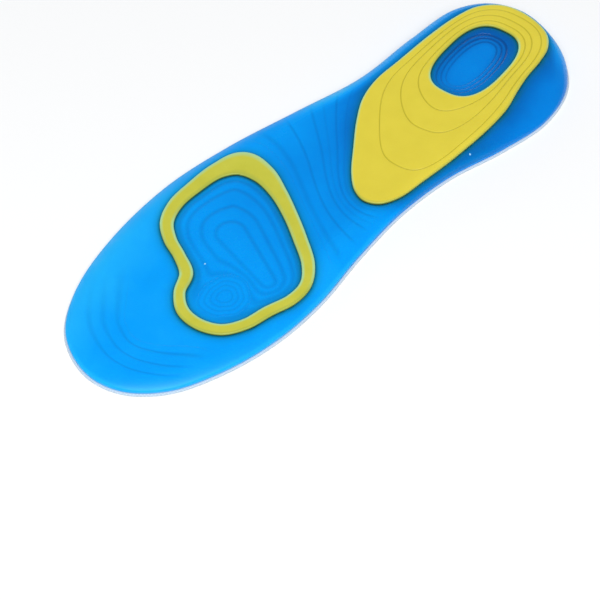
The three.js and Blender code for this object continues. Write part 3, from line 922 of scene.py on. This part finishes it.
def makeBlueGel():
    material, tree = newMaterial("mouldedGelBlue")
    place = addNode(tree, "ShaderNodeTexCoord").outputs["Object"]
    number, pitch, strength, crease, tone = [
        addNode(tree, "ShaderNodeAttribute", attribute_name=mark).outputs["Fac"]
        for mark in ("lineNumber", "linePitch", "lineStrength", "crease", "gelTone")]
    cloud = addNode(tree, "ShaderNodeTexNoise", Vector=place, Scale=1 / (blueGel["cloud"] * mm),
                    Detail=blueGel["cloudDetail"])
    shifted = addNode(tree, "ShaderNodeMath", operation="SUBTRACT", i0=cloud.outputs["Fac"], i1=0.5)
    clouded = addNode(tree, "ShaderNodeMath", operation="MULTIPLY_ADD", i0=shifted.outputs[0],
                      i1=blueGel["cloudShare"], i2=tone)
    stops = blueGel["tones"]
    low, high = stops[0][0], stops[-1][0]
    share = addNode(tree, "ShaderNodeMapRange", Value=clouded.outputs[0], From_Min=low, From_Max=high)
    body = addNode(tree, "ShaderNodeValToRGB", Fac=share.outputs["Result"])
    ramp = body.color_ramp.elements
    for count, (value, colour) in enumerate(stops):
        stop = ramp[count] if count < 2 else ramp.new(1.0)
        stop.position, stop.color = (value - low) / (high - low), linear(colour)
    # line widths to the nearest moulded line
    offset = addNode(tree, "ShaderNodeMath", operation="PINGPONG", i0=number, i1=0.5)
    away = addNode(tree, "ShaderNodeMath", operation="MULTIPLY", i0=offset.outputs[0], i1=pitch)
    nearLine = addNode(tree, "ShaderNodeMapRange", interpolation_type="SMOOTHSTEP", Value=away.outputs[0],
                       From_Min=0.0, From_Max=1.0, To_Min=1.0, To_Max=0.0)
    line = addNode(tree, "ShaderNodeMath", operation="MULTIPLY", i0=nearLine.outputs["Result"], i1=strength)
    # painted shade along the moulded lines, mixed in by the line's strength
    lineShare = addNode(tree, "ShaderNodeMath", operation="MULTIPLY", i0=line.outputs[0],
                        i1=blueGel["lineShare"])
    lined = addNode(tree, "ShaderNodeMix", data_type="RGBA", Factor=lineShare.outputs[0],
                    i6=body.outputs["Color"], i7=linear(blueGel["line"]))
    # painted shade in the creases beside the inserts
    creaseShare = addNode(tree, "ShaderNodeMath", operation="MULTIPLY", i0=crease, i1=blueGel["creaseShare"])
    creased = addNode(tree, "ShaderNodeMix", data_type="RGBA", Factor=creaseShare.outputs[0],
                      i6=lined.outputs[2], i7=linear(blueGel["crease"]))
    # metres in plan to the nearest bubble, and no more than one
    flat = addNode(tree, "ShaderNodeVectorMath", operation="MULTIPLY", i0=place, i1=(1, 1, 0))
    nearest = 1.0
    for x, y in blueGel["bubbles"]:
        spot = ((x - middle[0]) * mm, (y - middle[1]) * mm, 0)
        far = addNode(tree, "ShaderNodeVectorMath", operation="DISTANCE", i0=flat.outputs["Vector"], i1=spot)
        nearest = addNode(tree, "ShaderNodeMath", operation="MINIMUM", i0=nearest,
                          i1=far.outputs["Value"]).outputs[0]
    outside, inside = blueGel["bubbleEdge"]
    bubble = addNode(tree, "ShaderNodeMapRange", Value=nearest, From_Min=outside * mm, From_Max=inside * mm)
    speckled = addNode(tree, "ShaderNodeMix", data_type="RGBA", Factor=bubble.outputs["Result"],
                       i6=creased.outputs[2], i7=linear(blueGel["bubble"]))
    grain = addNode(tree, "ShaderNodeTexNoise", Vector=place, Scale=1 / (blueGel["grain"] * mm),
                    Detail=blueGel["grainDetail"])
    matt, glossy = blueGel["roughness"]
    pale, deep = blueGel["roughTones"]
    sheer = addNode(tree, "ShaderNodeMapRange", Value=tone, From_Min=pale, From_Max=deep, To_Min=matt,
                    To_Max=glossy)
    rough = addNode(tree, "ShaderNodeMath", operation="MULTIPLY_ADD", i0=grain.outputs["Fac"],
                    i1=blueGel["grainRough"], i2=sheer.outputs["Result"])
    lineStrength, lineDepth = blueGel["lineBump"]
    grainStrength, grainDepth = blueGel["grainBump"]
    bump = addNode(tree, "ShaderNodeBump", Height=line.outputs[0], Strength=lineStrength,
                   Distance=lineDepth * mm, invert=True)
    wave = addNode(tree, "ShaderNodeBump", Height=grain.outputs["Fac"], Strength=grainStrength,
                   Distance=grainDepth * mm, Normal=bump.outputs["Normal"])
    shader = addNode(tree, "ShaderNodeBsdfPrincipled", Base_Color=speckled.outputs[2],
                     Roughness=rough.outputs[0], Normal=wave.outputs["Normal"], IOR=blueGel["ior"],
                     Specular_IOR_Level=blueGel["specular"], Subsurface_Weight=blueGel["scatter"],
                     Subsurface_Radius=blueGel["scatterRadius"],
                     Subsurface_Scale=blueGel["scatterScale"] * mm)
    addNode(tree, "ShaderNodeOutputMaterial", Surface=shader.outputs["BSDF"])
    return material


# moulded yellow gel: denser and more opaque than the blue, satin, with a faint mottle, engraved lines
# darkened with painted shade, a thin painted pale glow on the edges standing in for light through the corner,
# and sides darkened with painted shade that takes on the blue's hue
yellowGel = {
    "pad": ("e0d043", "dccc40"),
    "ring": ("cac946", "c3c23e"),
    # painted shade for the grooves, a painted pale glow for the rim, and painted shade for the wall
    "groove": "a59c10",
    "grooveShare": 0.65,
    "rim": "a2deb0",
    "rimShare": 0.85,
    "wall": "6c9652",
    "wallShare": 0.8,
    "mottle": 9.0,  # mm
    "mottleDetail": 3.0,
    "grain": 0.9,  # mm
    "grainDetail": 4.0,
    "grainBump": (0.2, 0.08),  # strength, mm
    "noiseRange": (0.3, 0.7),  # most of what the noise gives
    "roughness": (0.34, 0.46),
    "ior": 1.41,
    "scatter": 0.12,
    "scatterRadius": (1.0, 0.8, 0.3),
    "scatterScale": 1.2,  # mm
}


def makeYellowGel(name, colour, shade):
    material, tree = newMaterial(name)
    place = addNode(tree, "ShaderNodeTexCoord").outputs["Object"]
    mottle = addNode(tree, "ShaderNodeTexNoise", Vector=place, Scale=1 / (yellowGel["mottle"] * mm),
                     Detail=yellowGel["mottleDetail"])
    low, high = yellowGel["noiseRange"]
    share = addNode(tree, "ShaderNodeMapRange", Value=mottle.outputs["Fac"], From_Min=low, From_Max=high)
    body = addNode(tree, "ShaderNodeMix", data_type="RGBA", Factor=share.outputs["Result"], i6=linear(colour),
                   i7=linear(shade)).outputs[2]
    # painted shade in the grooves and on the walls, and a painted pale glow on the rims
    for mark in ("groove", "rim", "wall"):
        shown = addNode(tree, "ShaderNodeAttribute", attribute_name=mark).outputs["Fac"]
        part = addNode(tree, "ShaderNodeMath", operation="MULTIPLY", i0=shown, i1=yellowGel[mark + "Share"])
        body = addNode(tree, "ShaderNodeMix", data_type="RGBA", Factor=part.outputs[0], i6=body,
                       i7=linear(yellowGel[mark])).outputs[2]
    grain = addNode(tree, "ShaderNodeTexNoise", Vector=place, Scale=1 / (yellowGel["grain"] * mm),
                    Detail=yellowGel["grainDetail"])
    smooth, coarse = yellowGel["roughness"]
    rough = addNode(tree, "ShaderNodeMapRange", Value=grain.outputs["Fac"], From_Min=low, From_Max=high,
                    To_Min=smooth, To_Max=coarse)
    strength, depth = yellowGel["grainBump"]
    bump = addNode(tree, "ShaderNodeBump", Height=grain.outputs["Fac"], Strength=strength,
                   Distance=depth * mm)
    shader = addNode(tree, "ShaderNodeBsdfPrincipled", Base_Color=body, Roughness=rough.outputs["Result"],
                     Normal=bump.outputs["Normal"], IOR=yellowGel["ior"],
                     Subsurface_Weight=yellowGel["scatter"], Subsurface_Radius=yellowGel["scatterRadius"],
                     Subsurface_Scale=yellowGel["scatterScale"] * mm)
    addNode(tree, "ShaderNodeOutputMaterial", Surface=shader.outputs["BSDF"])
    return material


# brushed polyester knit on the foot side: pale, matt, with fine courses; the real stitch of about 0.5 mm is
# drawn at 1 mm so that it shows
coverKnit = {
    "light": "ccdcea",
    "shade": "b9cbdc",
    "stitch": 1.0,  # mm
    "waveTurn": 20.0,  # radians that a wave texture of scale 1 runs through in a unit
    "distortion": 0.6,
    "detail": 1.0,
    "bump": (0.4, 0.15),  # strength, mm
    "roughness": 0.85,
    "sheen": 0.2,
}


def makeCoverKnit():
    material, tree = newMaterial("polyesterKnitPale")
    place = addNode(tree, "ShaderNodeTexCoord").outputs["Object"]
    scale = 2 * math.pi / (coverKnit["waveTurn"] * coverKnit["stitch"] * mm)
    waves = [addNode(tree, "ShaderNodeTexWave", Vector=place, Scale=scale, bands_direction=direction,
                     Distortion=coverKnit["distortion"], Detail=coverKnit["detail"]).outputs["Fac"]
             for direction in ("X", "Y")]
    knit = addNode(tree, "ShaderNodeMath", operation="MULTIPLY", i0=waves[0], i1=waves[1])
    body = addNode(tree, "ShaderNodeMix", data_type="RGBA", Factor=knit.outputs[0],
                   i6=linear(coverKnit["shade"]), i7=linear(coverKnit["light"]))
    strength, depth = coverKnit["bump"]
    bump = addNode(tree, "ShaderNodeBump", Height=knit.outputs[0], Strength=strength, Distance=depth * mm)
    shader = addNode(tree, "ShaderNodeBsdfPrincipled", Base_Color=body.outputs[2],
                     Roughness=coverKnit["roughness"], Normal=bump.outputs["Normal"],
                     Sheen_Weight=coverKnit["sheen"])
    addNode(tree, "ShaderNodeOutputMaterial", Surface=shader.outputs["BSDF"])
    return material


wear(gelBody, makeBlueGel())
wear(heelArchPad, makeYellowGel("mouldedGelYellowPad", *yellowGel["pad"]))
wear(forefootRing, makeYellowGel("mouldedGelYellowRing", *yellowGel["ring"]))
wear(topCover, makeCoverKnit())
print("materials made")

for piece, node, slot in (
        (gelBody, "gel_base", "blue_gel"), (heelArchPad, "heel_arch_pad", "yellow_pad_gel"),
        (forefootRing, "forefoot_ring", "yellow_ring_gel"), (topCover, "top_cover", "cover_fabric")):
    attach(piece, "root")
    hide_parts(node)
# the cover's flat cut is its plan shape
cut = (outline[:, :2] + cover["overhang"] * sideways(outline)) * mm

# a white studio, in metres and watts
studio = {
    "floorSize": 6.0,
    "floor": "fbfcfd",
    "floorRoughness": 0.9,
    "floorDrop": 0.0002,  # keeps the floor clear of the cover
    "world": 0.22,  # strength of the even room light
    # place, width and height, and power of each soft light
    "lights": {
        "frontSoftbox": ((0.95, 0.97, 2.2), (2.6, 2.6), 77.0),
        "backPanel": ((-0.75, -1.6, 0.35), (2.4, 0.6), 4.0),
    },
}


def makeFloor():
    half, low = studio["floorSize"] / 2, -studio["floorDrop"]
    corners = [(-half, -half, low), (half, -half, low), (half, half, low), (-half, half, low)]
    mesh = bpy.data.meshes.new("paleFloor")
    mesh.from_pydata(corners, [], [(0, 1, 2, 3)])
    floor = bpy.data.objects.new("paleFloor", mesh)
    bpy.context.collection.objects.link(floor)
    material, tree = newMaterial("mattPaper")
    shader = addNode(tree, "ShaderNodeBsdfPrincipled", Base_Color=linear(studio["floor"]),
                     Roughness=studio["floorRoughness"])
    addNode(tree, "ShaderNodeOutputMaterial", Surface=shader.outputs["BSDF"])
    wear(floor, material)


# soft lights that look at the origin, and an even pale room
def makeLights():
    for name, (place, size, power) in studio["lights"].items():
        data = bpy.data.lights.new(name, "AREA")
        data.shape, data.energy = "ELLIPSE", power
        data.size, data.size_y = size
        lamp = bpy.data.objects.new(name, data)
        lamp.location = place
        lamp.rotation_euler = Vector(place).to_track_quat("Z", "Y").to_euler()
        bpy.context.collection.objects.link(lamp)
    world = bpy.data.worlds.new("softRoom")
    world.use_nodes = True
    background = world.node_tree.nodes["Background"]
    background.inputs["Color"].default_value = (1, 1, 1, 1)
    background.inputs["Strength"].default_value = studio["world"]
    bpy.context.scene.world = world


makeFloor()
makeLights()
print("studio ready")
